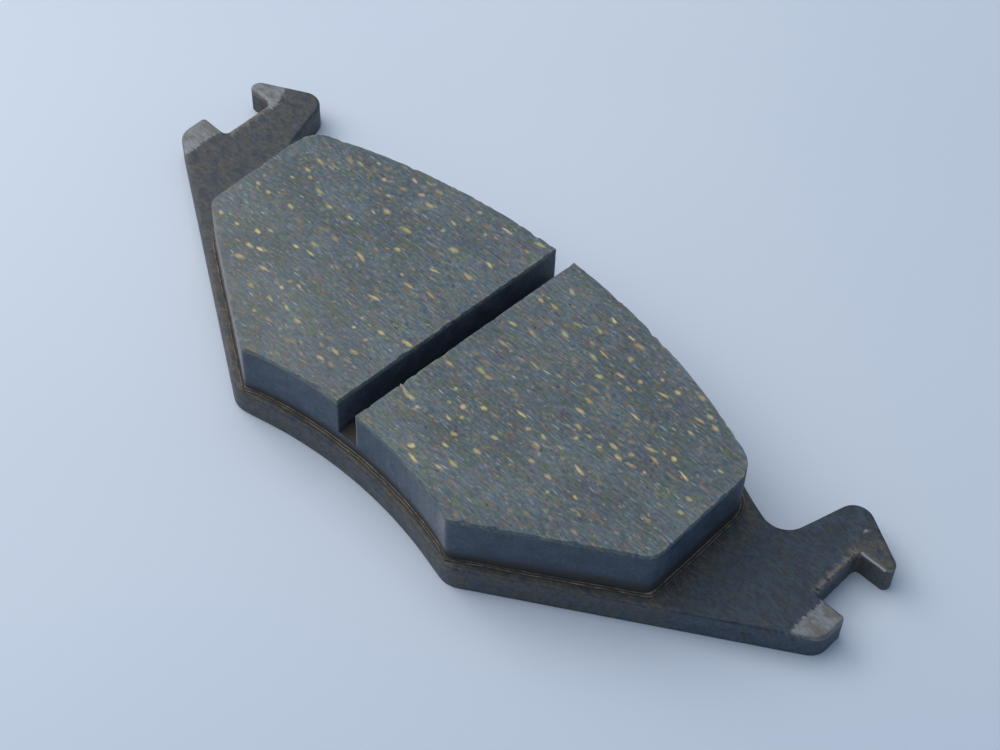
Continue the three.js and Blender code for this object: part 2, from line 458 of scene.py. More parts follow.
@dataclass(frozen=True)
class CoatedSteel(Finish):
    """Hot-rolled steel with a thin baked black coat: mottled slate and brown, bare where rubbed.

    The mesh carries "bare", how far inside a rubbed patch a point lies, in millimetres; "rub", 1
    where an edge is scuffed; a dust and sheen number, 1 where brown brake dust has caked and where
    painted sheen lightens the left ear; "side", 1 on the sheared edge, where the coat is thin; and
    "glint", 1 where an edge is freshly knocked bright.
    """

    GRAINS = {
        "mottle": Grain(0.9 * MM, 1.2 * MM, detail=6.0, rough=0.68),
        "fine": Grain(0.22 * MM, 0.45 * MM, detail=4.0, rough=0.65),
        "torn": Grain(0.28 * MM, 1.3 * MM, detail=4.0, rough=0.6),
        "brushed": Grain(0.12 * MM, 1.1 * MM),
    }
    name: str = "baked_black_coat_on_steel"
    coat: str = "1f2a36"
    blue: str = "2c3d4d"
    brown: str = "3b332e"
    olive: str = "363a31"
    caked_and_lit: str = "4a4741"
    steel: str = "7c8185"
    rust: str = "686764"
    scuffed: str = "6f6964"
    sheared: str = "3f4b5a"
    glint: str = "9fa5a9"

    def shade(self, tree: bpy.types.NodeTree, place: bpy.types.NodeSocket) -> bpy.types.Node:
        """Build the surface shader.

        Args:
            tree: The material's node tree.
            place: Object coordinates, in metres.

        Returns:
            The shader node that goes to the surface.
        """
        value = {
            name: add(tree, "ShaderNodeAttribute", attribute_name=name).outputs["Fac"]
            for name in ("bare", "rub", "dust_and_sheen", "side", "glint")
        }
        pattern = self.patterns(tree, place)
        hues = add(tree, "ShaderNodeSeparateColor", {0: pattern["mottle"].outputs["Color"]}).outputs

        # The coat, thin on the sheared edge, with stains, caked dust and painted sheen over the left ear
        mottled = add(tree, "ShaderNodeMapRange", {0: pattern["mottle"], 1: 0.4, 2: 0.6}, **SMOOTH)
        colour = add(tree, "ShaderNodeMix", {0: mottled, 6: self.coat, 7: self.blue}, **MIX)
        thin = add(tree, "ShaderNodeMath", {0: value["side"], 1: 0.75}, **TIMES)
        colour = add(tree, "ShaderNodeMix", {0: thin, 6: colour, 7: self.sheared}, **MIX)
        for hue, low, high, tint in ((hues[0], 0.55, 0.7, self.brown), (hues[1], 0.54, 0.68, self.olive)):
            share = add(tree, "ShaderNodeMapRange", {0: hue, 1: low, 2: high}, **SMOOTH)
            colour = add(tree, "ShaderNodeMix", {0: share, 6: colour, 7: tint}, **MIX)
        patchy = add(tree, "ShaderNodeMapRange", {0: hues[2], 1: 0.34, 2: 0.58}, **SMOOTH)
        caked_and_lit = add(tree, "ShaderNodeMath", {0: value["dust_and_sheen"], 1: patchy}, **TIMES)
        colour = add(tree, "ShaderNodeMix", {0: caked_and_lit, 6: colour, 7: self.caked_and_lit}, **MIX)
        limits = {0: pattern["fine"], 1: 0.3, 2: 0.7, 3: 0.62, 4: 1.45}
        tone = add(tree, "ShaderNodeMapRange", limits, **SMOOTH)
        colour = add(tree, "ShaderNodeVectorMath", {0: colour, "Scale": tone}, operation="SCALE")
        spotty = add(tree, "ShaderNodeMapRange", {0: pattern["fine"], 1: 0.36, 2: 0.56}, **SMOOTH)
        rubbed = add(tree, "ShaderNodeMath", {0: value["rub"], 1: spotty}, **TIMES)
        colour = add(tree, "ShaderNodeMix", {0: rubbed, 6: colour, 7: self.scuffed}, **MIX)

        # Bare steel in the rubbed patches, with a torn edge
        edge = add(tree, "ShaderNodeMath", {0: pattern["torn"], 1: 2.4, 2: value["bare"]}, **TIMES_PLUS)
        patch = add(tree, "ShaderNodeMapRange", {0: edge, 1: 1.0, 2: 1.5}, **SMOOTH)
        stained = add(tree, "ShaderNodeMapRange", {0: hues[2], 1: 0.42, 2: 0.62}, **SMOOTH)
        metal = add(tree, "ShaderNodeMix", {0: stained, 6: self.steel, 7: self.rust}, **MIX)
        limits = {0: pattern["brushed"], 1: 0.3, 2: 0.7, 3: 0.84, 4: 1.16}
        tone = add(tree, "ShaderNodeMapRange", limits, **SMOOTH)
        metal = add(tree, "ShaderNodeVectorMath", {0: metal, "Scale": tone}, operation="SCALE")
        colour = add(tree, "ShaderNodeMix", {0: patch, 6: colour, 7: metal}, **MIX)
        broken = add(tree, "ShaderNodeMapRange", {0: pattern["torn"], 1: 0.36, 2: 0.5}, **SMOOTH)
        glint = add(tree, "ShaderNodeMath", {0: value["glint"], 1: broken}, **TIMES)
        colour = add(tree, "ShaderNodeMix", {0: glint, 6: colour, 7: self.glint}, **MIX)

        metallic = add(tree, "ShaderNodeMath", {0: patch, 1: 0.45}, **TIMES)
        limits = {0: pattern["mottle"], 1: 0.3, 2: 0.7, 3: 0.46, 4: 0.66}
        dull = add(tree, "ShaderNodeMapRange", limits, **SMOOTH)
        relief = add(tree, "ShaderNodeMath", {0: hues[0], 1: 0.5, 2: pattern["fine"]}, **TIMES_PLUS)
        bump = add(tree, "ShaderNodeBump", {"Height": relief, "Strength": 0.55, "Distance": 0.12 * MM})
        surface = {"Base Color": colour, "Metallic": metallic, "Roughness": dull, "Normal": bump}
        return add(tree, "ShaderNodeBsdfPrincipled", surface)


@dataclass(frozen=True)
class Chip(Finish):
    """A scrap of metal or fibre ground flush with the compound: each one has its own tone.

    The mesh carries "tone", a random number for each scrap, which picks its colour from the ramp,
    and "core", 1 in its middle and 0 at its edge, where the grinding smeared compound over it.
    """

    GRAINS = {"torn": Grain(0.2 * MM, 0.5 * MM, rough=0.6)}
    stops: tuple[tuple[float, str], ...]
    strength: float = 0.88
    metallic: float = 0.08
    roughness: float = 0.6

    def shade(self, tree: bpy.types.NodeTree, place: bpy.types.NodeSocket) -> bpy.types.Node:
        """Build the surface shader.

        Args:
            tree: The material's node tree.
            place: Object coordinates, in metres.

        Returns:
            The shader node that goes to the surface.
        """
        face, ground = GroundFriction().scored_face(tree, place)
        torn = self.patterns(tree, place)["torn"]
        tone = add(tree, "ShaderNodeAttribute", attribute_name="tone").outputs["Fac"]
        core = add(tree, "ShaderNodeAttribute", attribute_name="core").outputs["Fac"]
        colour = add(tree, "ShaderNodeValToRGB", {0: tone}, self.stops)
        edge = add(tree, "ShaderNodeMath", {0: torn, 1: 1.5, 2: core}, **TIMES_PLUS)
        limits = {0: edge, 1: 0.62, 2: 1.62, 3: 0.0, 4: self.strength}
        share = add(tree, "ShaderNodeMapRange", limits, **SMOOTH)
        limits = {0: ground["streaks"], 1: 0.3, 2: 0.7, 3: 0.76, 4: 1.2}
        scored = add(tree, "ShaderNodeMapRange", limits, **SMOOTH)
        colour = add(tree, "ShaderNodeVectorMath", {0: colour, "Scale": scored}, operation="SCALE")
        colour = add(tree, "ShaderNodeMix", {0: share, 6: face, 7: colour}, **MIX)
        relief = {"Height": ground["streaks"], "Strength": 0.5, "Distance": 0.06 * MM}
        bump = add(tree, "ShaderNodeBump", relief)
        surface = {"Base Color": colour, "Metallic": self.metallic, "Roughness": self.roughness}
        return add(tree, "ShaderNodeBsdfPrincipled", {**surface, "Normal": bump})


@dataclass(frozen=True)
class PaleFloor(Finish):
    """A plain, pale blue-grey table top, matt, with painted shade that darkens it towards the lower right.
    """

    GRAINS = {"cloud": Grain(60 * MM, detail=2.0)}
    name: str = "pale_table_top"
    colour: str = "cad5e3"
    cloudy: str = "c7d2e1"
    uneven_tone: str = "b2c5db"

    def shade(self, tree: bpy.types.NodeTree, place: bpy.types.NodeSocket) -> bpy.types.Node:
        """Build the surface shader.

        Args:
            tree: The material's node tree.
            place: Object coordinates, in metres.

        Returns:
            The shader node that goes to the surface.
        """
        cloud = self.patterns(tree, place)["cloud"]
        share = add(tree, "ShaderNodeMapRange", {0: cloud, 1: 0.3, 2: 0.7}, **SMOOTH)
        colour = add(tree, "ShaderNodeMix", {0: share, 6: self.colour, 7: self.cloudy}, **MIX)
        # Painted shade: the floor is painted darker towards the lower right, away from the lamps
        spot = add(tree, "ShaderNodeSeparateXYZ", {0: place}).outputs
        along = add(tree, "ShaderNodeMath", {0: spot["X"], 1: spot["Y"]}, operation="SUBTRACT")
        share = add(tree, "ShaderNodeMapRange", {0: along, 1: 0.03, 2: 0.22}, **SMOOTH)
        colour = add(tree, "ShaderNodeMix", {0: share, 6: colour, 7: self.uneven_tone}, **MIX)
        return add(tree, "ShaderNodeBsdfPrincipled", {"Base Color": colour, "Roughness": 0.75})


# ---------------------------------------------------------------------------------------------
# Mesh helpers
# ---------------------------------------------------------------------------------------------


def cad_loops(node_name: str, level: float) -> list[Loop]:
    """Find the outlines of a CAD node's flat face at one height.

    Args:
        node_name: The node.
        level: The face's height, in metres.

    Returns:
        Closed outlines, the longest first: the outer one anticlockwise, each hole clockwise.
    """
    mesh = bmesh.new()
    mesh.from_mesh(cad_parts[node_name].data)
    bmesh.ops.remove_doubles(mesh, verts=mesh.verts, dist=0.001 * MM)
    following: dict[int, int] = {}
    places: dict[int, Vector] = {}
    for face in mesh.faces:
        if abs(face.normal.z) < 0.99 or any(abs(v.co.z - level) > 0.01 * MM for v in face.verts):
            continue
        for loop in face.loops:
            other = loop.link_loop_radial_next.face
            if abs(other.normal.z) < 0.99:
                a, b = loop.vert, loop.link_loop_next.vert
                if face.normal.z < 0:
                    a, b = b, a
                following[a.index] = b.index
                places[a.index], places[b.index] = a.co.copy(), b.co.copy()
    mesh.free()
    loops = []
    while following:
        start, here = following.popitem()
        chain = [start]
        while here != start:
            chain.append(here)
            here = following.pop(here)
        loops.append([places[i] for i in chain])
    return sorted(loops, key=perimeter, reverse=True)


def clamped(value: float) -> float:
    """Keep a value from 0 to 1."""
    return min(1.0, max(0.0, value))


def placed(name: str, data: bpy.types.ID) -> bpy.types.Object:
    """Put a new object with this data in the scene.

    Args:
        name: The object's name.
        data: Its mesh, light or camera.

    Returns:
        The object.
    """
    made = bpy.data.objects.new(name, data)
    bpy.context.scene.collection.objects.link(made)
    return made


def perimeter(loop: Loop) -> float:
    """Length round a closed outline."""
    return sum((b - a).length for a, b in zip(loop, loop[1:] + loop[:1]))


def resample(loop: Loop, pitch: float) -> Loop:
    """Split an outline's long stretches, and keep its corners.

    Args:
        loop: The outline.
        pitch: The longest stretch in the result, in metres.

    Returns:
        The denser outline.
    """
    points: Loop = []
    for a, b in zip(loop, loop[1:] + loop[:1]):
        parts = max(1, math.ceil((b - a).length / pitch))
        points.extend(a.lerp(b, k / parts) for k in range(parts))
    return points


def softened(loop: Loop, pitch: float) -> Loop:
    """Round a block outline's corners off, apart from the sharp ones at the slot.

    Args:
        loop: The outline, split into stretches of about one pitch.
        pitch: The length of a stretch, in metres.

    Returns:
        The outline, each point moved to the middle of its neighbourhood.
    """
    reach = round(CORNER_REACH / pitch)
    points: Loop = []
    for i, point in enumerate(loop):
        near = [loop[(i + k) % len(loop)] for k in range(-reach, reach + 1)]
        middle = sum(near, Vector()) / len(near)
        share = clamped((abs(point.x) - SLOT_REACH) / SLOT_FADE)
        points.append(point.lerp(middle, share))
    return points


def inward(loop: Loop) -> Loop:
    """Directions that point into the material from an outline, scaled so that insets keep parallel.

    Args:
        loop: The outline, anticlockwise.

    Returns:
        A direction for each point.
    """
    found = []
    for before, here, after in zip(loop[-1:] + loop[:-1], loop, loop[1:] + loop[:1]):
        sides = [Vector((-d.y, d.x, 0)).normalized() for d in (here - before, after - here)]
        middle = (sides[0] + sides[1]).normalized()
        found.append(middle / max(0.6, middle.dot(sides[0])))
    return found


def eased(directions: Sequence[Vector], reach: int) -> Loop:
    """Fan the directions out before and after each corner, so that long insets don't cross.

    Args:
        directions: Inward directions along an outline.
        reach: How many neighbours on each side count.

    Returns:
        Unit directions.
    """
    count = len(directions)
    found = []
    for i in range(count):
        near = (directions[(i + k) % count].normalized() for k in range(-reach, reach + 1))
        found.append(sum(near, Vector()).normalized())
    return found


def spans(loops: Sequence[Loop], y: float) -> list[tuple[float, float]]:
    """Where a line along X at this Y runs inside the outlines.

    Args:
        loops: The outlines.
        y: The line's place, in metres.

    Returns:
        The start and end of each stretch inside, from left to right.
    """
    crossings = []
    for loop in loops:
        for a, b in zip(loop, loop[1:] + loop[:1]):
            if (a.y > y) != (b.y > y):
                crossings.append(a.x + (b.x - a.x) * (y - a.y) / (b.y - a.y))
    crossings.sort()
    return list(zip(crossings[::2], crossings[1::2]))


def rumple(point: Vector, size: float, seed: float = 0.0) -> float:
    """Smooth noise from -1 to 1 whose waves are about size metres long."""
    return noise.noise(point / size + Vector((seed, seed * 1.7, seed * 2.3)))


@dataclass(frozen=True)
class Dent:
    """A small hollow in a flat face, longer one way, with its own patch of finer mesh."""

    x: float
    y: float
    length: float
    width: float
    depth: float
    angle: float = 0.0

    def depth_at(self, point: Vector) -> float:
        """How deep the hollow is at a point, in metres.

        Args:
            point: The point.

        Returns:
            The depth, or 0 outside the hollow.
        """
        offset = Vector((point.x - self.x, point.y - self.y))
        along = offset.x * math.cos(self.angle) + offset.y * math.sin(self.angle)
        across = offset.y * math.cos(self.angle) - offset.x * math.sin(self.angle)
        reach = (2 * along / self.length) ** 2 + (2 * across / self.width) ** 2
        return self.depth * max(0.0, 1.0 - reach) ** 0.7

    def points(self) -> list[Vector]:
        """The extra mesh points that the hollow needs.

        Returns:
            Points at height 0, on a grid turned with the hollow.
        """
        pitch = self.width / 6
        columns, rows = math.ceil(self.length / pitch / 1.5), 5
        cos, sin = math.cos(self.angle), math.sin(self.angle)
        found = []
        for i in range(-columns, columns + 1):
            for j in range(-rows, rows + 1):
                along, across = i * pitch, j * pitch * 0.8
                if abs(along) <= self.length / 1.6:
                    x = self.x + along * cos - across * sin
                    found.append(Vector((x, self.y + along * sin + across * cos, 0)))
        return found


class Shell:
    """A closed mesh built from rings of points, stitched together and capped."""

    def __init__(self, *marks: str) -> None:
        """Start an empty mesh that can carry these numbers at its points."""
        self.mesh = bmesh.new()
        for name in marks:
            self.mesh.verts.layers.float.new(name)

    def mark(self, name: str, ring: Sequence[bmesh.types.BMVert], value: float) -> None:
        """Write one number at every point of a ring.

        Args:
            name: The number's name.
            ring: The ring.
            value: The number.
        """
        layer = self.mesh.verts.layers.float[name]
        for vert in ring:
            vert[layer] = value

    def ring(self, points: Sequence[Vector]) -> list[bmesh.types.BMVert]:
        """Add a closed ring of points."""
        return [self.mesh.verts.new(p) for p in points]

    def stitch(
        self,
        lower: Sequence[bmesh.types.BMVert],
        upper: Sequence[bmesh.types.BMVert],
        slot: int = 0,
    ) -> None:
        """Join two rings of the same count by a band of faces.

        Args:
            lower: The ring whose band faces outward when the outline runs anticlockwise.
            upper: The next ring.
            slot: The faces' material slot.
        """
        count = len(lower)
        for i in range(count):
            j = (i + 1) % count
            face = self.mesh.faces.new((lower[i], lower[j], upper[j], upper[i]))
            face.material_index = slot
            face.smooth = True

    def wall(self, rings: Sequence[Sequence[Vector]], slot: int = 0) -> list[list[bmesh.types.BMVert]]:
        """Stitch a stack of rings, bottom first, and return them.

        Args:
            rings: The rings' points, bottom first.
            slot: The faces' material slot.

        Returns:
            The rings, in the same order.
        """
        made = [self.ring(points) for points in rings]
        for lower, upper in zip(made, made[1:]):
            self.stitch(lower, upper, slot)
        return made

    def cap(
        self,
        rings: Sequence[Sequence[bmesh.types.BMVert]],
        pitch: float,
        upward: bool,
        relief: Relief | None = None,
        dents: Sequence[Dent] = (),
        slot: int = 0,
        sharp: bool = True,
    ) -> list[bmesh.types.BMVert]:
        """Fill the space inside the first ring and outside the others with a fine, flat mesh.

        Args:
            rings: The outer ring, then the ring of each hole.
            pitch: Spacing of the mesh inside, in metres.
            upward: True if the cap faces up.
            relief: Height to add at each inner point, in metres.
            dents: Hollows to press into the cap.
            slot: The faces' material slot.
            sharp: Whether the cap meets the rings at a crisp edge.

        Returns:
            The inner points.
        """
        loops = [[v.co.copy() for v in ring] for ring in rings]
        level = sum(p.z for p in loops[0]) / len(loops[0])
        inner = [p for dent in dents for p in dent.points()]
        low, high = min(p.y for p in loops[0]), max(p.y for p in loops[0])
        rise, clear = pitch * ROW_RISE, 0.4 * pitch
        for row in range(1, math.floor((high - low) / rise) + 1):
            y = low + row * pitch * ROW_RISE
            for start, end in spans(loops, y):
                first, last = math.ceil((start + clear) / pitch), math.floor((end - clear) / pitch)
                for column in range(first, last + 1):
                    x = (column + (row % 2) / 2) * pitch
                    if x < end - clear and not any(self._near(d, x, y) for d in dents):
                        inner.append(Vector((x, y, 0)))
        flat = [p.to_2d() for loop in loops for p in loop] + [p.to_2d() for p in inner]
        borders, offset = [], 0
        for loop in loops:
            count = len(loop)
            borders += [(offset + i, offset + (i + 1) % count) for i in range(count)]
            offset += count
        _, _, triangles, origins, _, _ = delaunay_2d_cdt(flat, borders, [], 1, 1e-9)
        points = [v for ring in rings for v in ring]
        made = []
        for p in inner:
            place = Vector((p.x, p.y, level))
            place.z += relief(place) if relief else 0.0
            place.z -= sum(d.depth_at(place) for d in dents) * (1 if upward else -1)
            made.append(self.mesh.verts.new(place))
        points += made
        for corners in triangles:
            if not all(origins[c] for c in corners):
                raise ValueError(f"the cap's outline crosses itself near {flat[corners[0]]}")
            found = [points[origins[c][0]] for c in corners]
            if len(rings) > 1:
                centre = sum((v.co for v in found), Vector()) / 3
                if not any(a < centre.x < b for a, b in spans(loops, centre.y)):
                    continue
            face = self.mesh.faces.new(found if upward else found[::-1])
            face.material_index = slot
            face.smooth = True
        for ring in rings:
            for a, b in zip(ring, ring[1:] + ring[:1]):
                self.mesh.edges.get((a, b)).smooth = not sharp
        return made

    @staticmethod
    def _near(dent: Dent, x: float, y: float) -> bool:
        """Whether a point lies in a dent's own patch of mesh."""
        return math.hypot(x - dent.x, y - dent.y) < 0.62 * dent.length

    def floats(self, name: str, value: Callable[[Vector], float]) -> None:
        """Write a number at every point, from its place.

        Args:
            name: The number's name.
            value: Gives the number at a place.
        """
        layer = self.mesh.verts.layers.float.new(name)
        for vert in self.mesh.verts:
            vert[layer] = value(vert.co)

    def piece(self, name: str, finishes: Sequence[Finish]) -> bpy.types.Object:
        """Turn the mesh to an object at the origin.

        Args:
            name: The piece's name.
            finishes: The finish of each material slot.

        Returns:
            The object.
        """
        data = bpy.data.meshes.new(name)
        self.mesh.normal_update()
        self.mesh.to_mesh(data)
        self.mesh.free()
        for finish in finishes:
            data.materials.append(finish.material())
        return placed(name, data)


# ---------------------------------------------------------------------------------------------
# The pad's pieces
# ---------------------------------------------------------------------------------------------


def skin_wave(place: Vector) -> float:
    """How far the moulded skin stands in from its outline at a point, in metres."""
    broad = 0.035 * MM * rumple(place, 3.2 * MM)
    return 0.03 * MM + broad + 0.025 * MM * rumple(place, 0.9 * MM)


class Slot(str, Enum):
    """The record's material slots."""

    STEEL = "plate_steel"
    BOND = "bond_coat"
    UNDERLAYER = "underlayer_compound"
    FRICTION = "friction_material"


def settle(piece: bpy.types.Object, slot: Slot, *replaced: str) -> bpy.types.Object:
    """Fix a finished piece to the pad's one body and hide the CAD nodes that it stands for.

    Args:
        piece: The finished piece.
        slot: The record's material slot; not used.
        replaced: The CAD nodes that it stands for.

    Returns:
        The piece.
    """
    if replaced:
        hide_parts(*replaced)
    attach(piece, "root")
    LOG.info("%s: %d points, %d faces", piece.name, len(piece.data.vertices), len(piece.data.polygons))
    return piece


@dataclass(frozen=True)
class RubbedPatch:
    """A part of the plate where the coat is rubbed off: past a line, on one arm of one ear."""

    x: float
    y: float
    direction: tuple[float, float]
    side: int
    above: float = -math.inf
    below: float = math.inf

    def inside(self, point: Vector) -> float:
        """How far inside the patch a point lies, in millimetres, or a negative number outside.

        Args:
            point: The point, in metres.

        Returns:
            The distance past the patch's line.
        """
        if point.x * self.side < 0 or not self.above < point.y < self.below:
            return OUTSIDE
        return ((point.x - self.x) * self.direction[0] + (point.y - self.y) * self.direction[1]) / MM


@dataclass
class BackingPlate:
    """The stamped steel plate, with its rolled edges, rubbed arms and moulding holes."""

    edge_radius: float = 0.45 * MM
    burr_radius: float = 0.15 * MM
    pitch: float = 0.7 * MM
    notch_root: float = 63.1 * MM
    patches: tuple[RubbedPatch, ...] = (
        RubbedPatch(64.3 * MM, 0, (1, 0), 1, below=13.5 * MM),
        RubbedPatch(-64.1 * MM, 0, (-1, 0), -1, below=13.5 * MM),
        RubbedPatch(-62.5 * MM, 19.9 * MM, (-0.94, -0.34), -1, above=17.2 * MM),
        RubbedPatch(68.3 * MM, 19.2 * MM, (0.9, -0.44), 1, above=13.5 * MM),
    )
    dents: tuple[Dent, ...] = (
        Dent(61.2 * MM, 22.4 * MM, 1.5 * MM, 0.5 * MM, 0.25 * MM, -0.1),
        Dent(-57.9 * MM, 19.2 * MM, 1.1 * MM, 0.5 * MM, 0.12 * MM, 0.4),
    )
    nick: tuple[float, float] = (61.5 * MM, 22.15 * MM)
    sheared_top: float = 4.85 * MM
    scuff_low: float = 4.2 * MM
    scuff_high: float = 4.95 * MM
    notch_low: float = 8.6 * MM
    notch_high: float = 18.4 * MM
    dusty_foot: float = 51.5 * MM
    dusty_arm: float = 60.5 * MM
    bright_edge: float = 18.6 * MM
    bright_start: float = 63.4 * MM
    bright_length: float = 4.4 * MM

    def build(self) -> bpy.types.Object:
        """Make the plate's mesh and dress it.

        Returns:
            The finished piece.
        """
        low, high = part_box("backing_plate")
        loops = [resample(loop, self.pitch) for loop in cad_loops("backing_plate", high.z)]
        shell = Shell()
        stacks = [shell.wall(self._rings(loop, low.z, high.z)) for loop in loops]
        shell.cap([s[-1] for s in stacks], 1.0 * MM, True, self._relief, self.dents, sharp=False)
        shell.cap([s[0] for s in stacks], 1.3 * MM, False)
        shell.floats("bare", self._bare)
        shell.floats("rub", self._rub)
        shell.floats("dust_and_sheen", self._dust_and_sheen)
        shell.floats("side", lambda p: clamped((self.sheared_top - p.z) / (0.25 * MM)))
        shell.floats("glint", self._glint)
        return settle(shell.piece("steel_plate", [CoatedSteel()]), Slot.STEEL, "backing_plate")

    def _rings(self, loop: Loop, low: float, high: float) -> list[Loop]:
        """Rings up the sheared edge: a small burr radius, the wall, and the die's rolled edge.

        Args:
            loop: The plate's outline or a hole's.
            low: The height of the back face.
            high: The height of the top face.

        Returns:
            The rings' points, bottom first.
        """
        into = inward(loop)
        profile = [(self.burr_radius, low), (0.3 * self.burr_radius, low + 0.3 * self.burr_radius)]
        wall_low, wall_high = low + self.burr_radius, high - self.edge_radius
        profile += [(0.0, wall_low + (wall_high - wall_low) * k / 4) for k in range(5)]
        for k in range(1, 5):
            turn = math.pi / 2 * k / 4
            inset = self.edge_radius * (1 - math.cos(turn))
            profile.append((inset, wall_high + self.edge_radius * math.sin(turn)))
        rings = []
        for inset, level in profile:
            ring = []
            for point, direction in zip(loop, into):
                place = Vector((point.x, point.y, level))
                wander = 0.02 * MM * rumple(place, 1.5 * MM) if low < level < high else 0.0
                ring.append(place + direction * (inset + wander))
            rings.append(ring)
        return rings

    def _relief(self, point: Vector) -> float:
        """The rolled sheet's slight waviness."""
        return 0.03 * MM * rumple(point, 9 * MM) + 0.012 * MM * rumple(point, 2.5 * MM)

    def _bare(self, point: Vector) -> float:
        """How deep a point lies in the deepest rubbed patch on the top face, in millimetres."""
        down = max(0.0, (4.75 * MM - point.z) / MM)
        return max(OUTSIDE, max(patch.inside(point) for patch in self.patches) - 6.0 * down)

    def _rub(self, point: Vector) -> float:
        """1 on the top edge round the notches' roots, fading inwards, and a little on the arms.

        Args:
            point: A point of the plate.

        Returns:
            How scuffed it is, from 0 to 1.
        """
        on_top = clamped((point.z - self.scuff_low) / (0.4 * MM))
        inwards = abs(point.x) - self.notch_root
        wander = 0.35 * MM * rumple(point, 1.6 * MM)
        if self.notch_low < point.y < self.notch_high:
            return on_top * clamped((inwards + 0.95 * MM + wander) / (0.4 * MM))
        return 0.35 * on_top if inwards > 0.9 * MM and point.z < self.scuff_high else 0.0

    def _dust_and_sheen(self, point: Vector) -> float:
        """Brake dust cakes close to the block and on the outer arms; over the left ear, painted sheen
        lightens the coat.

        Args:
            point: A point of the plate.

        Returns:
            How much dust and painted sheen it has, from 0 to 1.
        """
        foot = clamped((self.dusty_foot - abs(point.x)) / (3.0 * MM))
        arm = clamped((abs(point.x) - self.dusty_arm) / (2.0 * MM)) if point.y > 16 * MM else 0.0
        # Painted sheen: the left ear, nearer the lamps, is lightened through the dust share
        left = 0.6 if point.x < -48 * MM else 0.0
        return max(0.8 * foot, 0.9 * arm, left)

    def _glint(self, point: Vector) -> float:
        """Bright steel along the right notch's upper edge and on the nick beside it.

        Args:
            point: A point of the plate.

        Returns:
            How bright it is, from 0 to 1.
        """
        beside = 0.0 < point.x - self.bright_start < self.bright_length
        line = max(0.0, 1.0 - abs(point.y - self.bright_edge) / (0.2 * MM)) if beside else 0.0
        near = math.hypot((point.x - self.nick[0]) / 1.3, point.y - self.nick[1])
        spot = max(0.0, 0.8 - near / (0.4 * MM))
        return min(1.0, 1.3 * (line + spot)) if point.z > 4.6 * MM else 0.0


@dataclass
class BondCoat:
    """The thin resin film with the uneven bead that the press squeezed out round the moulding."""

    pitch: float = 0.5 * MM
    crest_height: float = 0.3 * MM
    toe: float = 0.12 * MM
    wander: float = 0.11 * MM

    def build(self) -> bpy.types.Object:
        """Make the film's mesh and dress it.

        Returns:
            The finished piece.
        """
        low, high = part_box("adhesive_film")
        outer, *holes = cad_loops("adhesive_film", high.z)
        outer = resample(outer, self.pitch)
        shell = Shell()
        stack = shell.wall(self._rings(outer, low.z, high.z))
        wells = []
        for hole in holes:
            wells.append(shell.wall([[Vector((p.x, p.y, z)) for p in hole] for z in (low.z, high.z)]))
        shell.cap([stack[-1], *(w[-1] for w in wells)], 4 * MM, True)
        shell.cap([stack[0], *(w[0] for w in wells)], 4 * MM, False)
        return settle(shell.piece("bond_coat", [BondResin()]), Slot.BOND, "adhesive_film")

    def _rings(self, loop: Loop, low: float, high: float) -> list[Loop]:
        """Rings over the bead, from its toe on the plate to the film under the block.

        Args:
            loop: The film's outline.
            low: The height of the plate's face.
            high: The height of the film's top.

        Returns:
            The rings' points, the toe's first.
        """
        into = inward(loop)
        rings: list[Loop] = [[] for _ in range(6)]
        for point, direction in zip(loop, into):
            shift = self.toe + self.wander * rumple(point, 3.5 * MM)
            shift += 0.4 * self.wander * rumple(point, 0.9 * MM, 3)
            swell = 0.62 + 0.38 * rumple(point, 4.5 * MM, 5) + 0.25 * rumple(point, 1.1 * MM, 9)
            crest = low + 0.1 * MM + self.crest_height * max(0.15, swell)
            profile = (
                (shift, low),
                (shift + 0.06 * MM, low + 0.8 * (crest - low)),
                (shift + 0.13 * MM, crest),
                (shift + 0.24 * MM, low + 0.6 * (crest - low)),
                (0.55 * MM + 0.3 * (shift - self.toe), low + 0.14 * MM),
                (0.74 * MM, high),
            )
            for ring, (inset, level) in zip(rings, profile):
                ring.append(Vector((point.x, point.y, level)) + direction * inset)
        return rings


